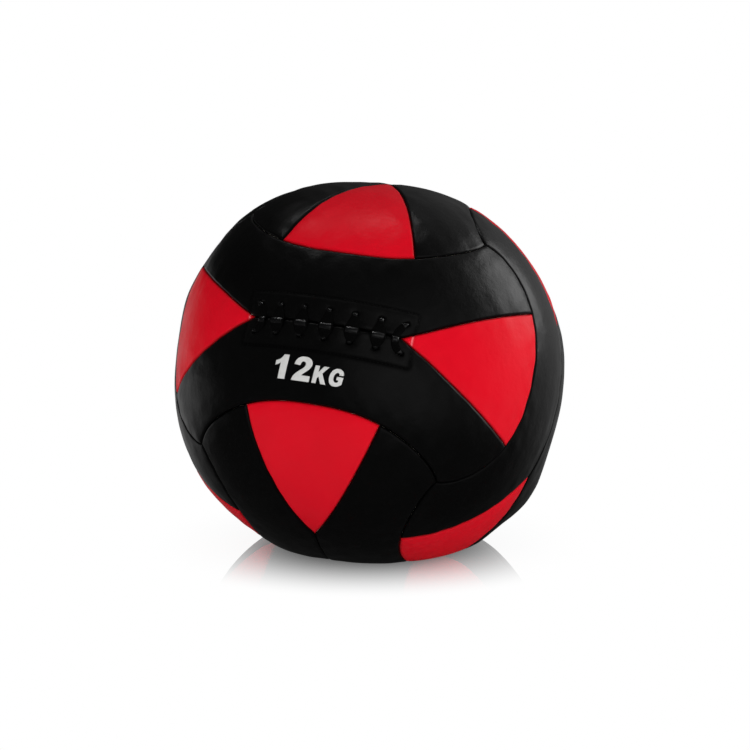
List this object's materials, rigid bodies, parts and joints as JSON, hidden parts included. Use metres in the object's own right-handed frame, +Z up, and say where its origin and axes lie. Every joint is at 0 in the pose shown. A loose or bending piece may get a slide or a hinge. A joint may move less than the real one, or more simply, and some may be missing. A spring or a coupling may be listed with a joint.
{
  "type": "wall ball",
  "caption": "Soft-stuffed round exercise ball with a sewn cover of curved red and black panels, a laced seam and a weighted core, slightly flattened where it rests.",
  "frame": {"origin": "on the floor, under the middle of the ball's outline", "axes": "+Z up from the flat on which the ball rests; -Y towards the lacing, which looks a little up and to the left; +X to the right of someone who faces the lacing"},
  "size_m": [0.348, 0.3552, 0.329],
  "materials": {
    "cover_red": "fine-grained synthetic leather, soft satin",
    "cover_black": "fine-grained synthetic leather, soft satin",
    "facing": "matt synthetic leather",
    "lace": "flat woven lace, slightly waxed",
    "thread": "bonded sewing thread",
    "liner": "plain cotton cloth",
    "wadding": "packed loose fibre",
    "weight_bag": "coated nylon cloth",
    "tie": "twisted cord",
    "ballast": "dry sand"
  },
  "bodies": {
    "root": {"red_left_lower": "cover_red", "red_left_upper": "cover_red", "red_right_lower": "cover_red", "red_right_upper": "cover_red", "red_front_left": "cover_red", "red_front_right": "cover_red", "red_back_left": "cover_red", "red_back_right": "cover_red", "red_bottom_front": "cover_red", "red_bottom_back": "cover_red", "red_top_front": "cover_red", "red_top_back": "cover_red", "black_left_front": "cover_black", "black_left_back": "cover_black", "black_right_front": "cover_black", "black_right_back": "cover_black", "black_front_lower": "cover_black", "black_front_upper": "cover_black", "black_back_lower": "cover_black", "black_back_upper": "cover_black", "black_bottom_left": "cover_black", "black_bottom_right": "cover_black", "black_top_left": "cover_black", "black_top_right": "cover_black", "facing_lower": "facing", "facing_upper": "facing", "tongue": "facing", "lace": "lace", "facing_stitching": "thread", "liner": "liner", "wadding_front": "wadding", "wadding_back": "wadding", "weight_bag": "weight_bag", "weight_bag_tie": "tie", "ballast": "ballast"}
  },
  "joints": []
}
